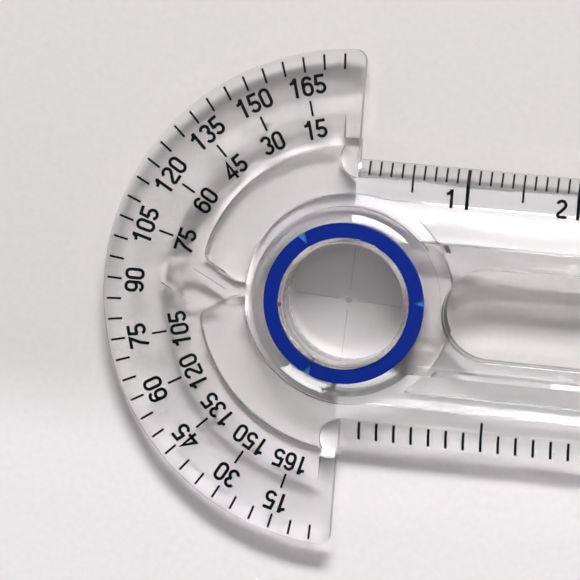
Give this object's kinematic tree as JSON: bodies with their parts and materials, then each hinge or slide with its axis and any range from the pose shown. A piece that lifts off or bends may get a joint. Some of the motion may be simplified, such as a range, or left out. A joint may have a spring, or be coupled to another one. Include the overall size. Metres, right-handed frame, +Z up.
{
  "type": "goniometer",
  "caption": "Small clear finger goniometer: half-disc protractor head with a ruler arm, and a slim slotted arm that turns on a hollow pivot.",
  "frame": {"origin": "the turning axis, on the surface that the instrument lies on", "axes": "+Z up along the turning axis, +X along both arms at rest, +Y towards the centimetre edge"},
  "size_m": [0.1501, 0.0452, 0.0046],
  "materials": {
    "clear_moulding": "polished clear moulding",
    "clear_arm": "polished clear moulding",
    "clear_window": "polished clear disc with fine engraved lines",
    "blue_ring": "glossy solid blue moulding",
    "black_ink": "printed black ink"
  },
  "bodies": {
    "protractor_body": {"fixed_arm": "clear_moulding", "snap_ring": "blue_ring", "axis_window": "clear_window", "outer_degree_marks": "black_ink", "inner_degree_marks": "black_ink", "centimetre_marks": "black_ink", "inch_marks": "black_ink"},
    "moving_body": {"moving_arm": "clear_arm"}
  },
  "joints": [
    {"name": "arm_pivot", "type": "hinge", "parent": "protractor_body", "child": "moving_body", "pos_m": [0, 0, 0.003], "axis": [0, 0, 1], "continuous": true}
  ]
}
